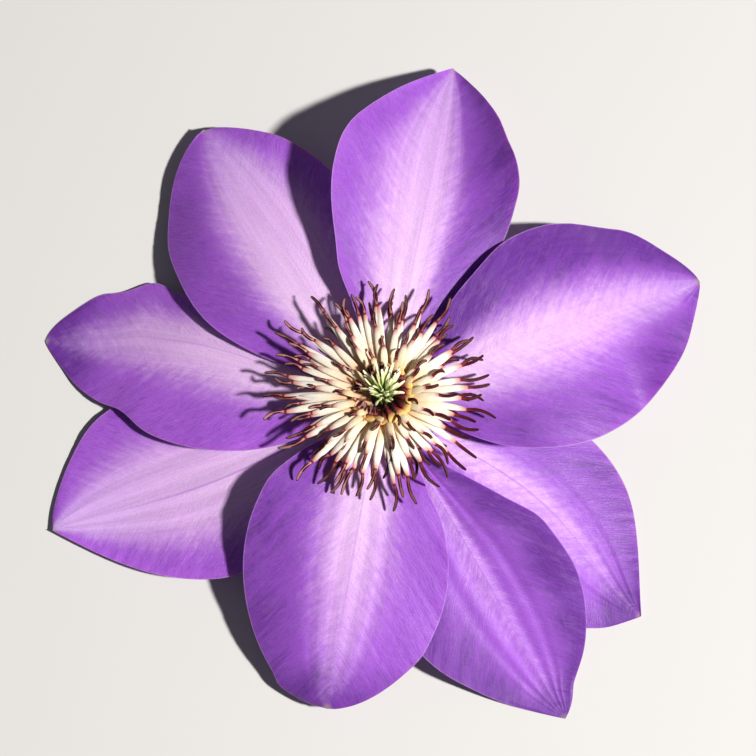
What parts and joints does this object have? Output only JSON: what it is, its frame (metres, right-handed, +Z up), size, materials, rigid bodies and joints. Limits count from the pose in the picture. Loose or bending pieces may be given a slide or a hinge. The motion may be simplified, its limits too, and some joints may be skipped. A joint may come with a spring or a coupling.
{
  "type": "clematis flower",
  "caption": "Large-flowered clematis bloom with broad violet tepals round a boss of cream and maroon stamens, lying face up on three of its tepal tips.",
  "frame": {"origin": "middle of the bloom's box, on the surface that it lies on", "axes": "+Z up, the way the bloom faces; +X towards the tepal named right and +Y towards the one named top"},
  "size_m": [0.1548, 0.1542, 0.0341],
  "materials": {
    "tepals": "satin",
    "stamens": "satin",
    "pistil": "satin",
    "stalk": "matte"
  },
  "bodies": {
    "root": {"tepal_top": "tepals", "tepal_high_left": "tepals", "tepal_left": "tepals", "tepal_low_left": "tepals", "tepal_bottom": "tepals", "tepal_lower": "tepals", "tepal_low_right": "tepals", "tepal_right": "tepals", "stamens": "stamens", "pistil": "pistil", "stalk": "stalk"}
  },
  "joints": []
}
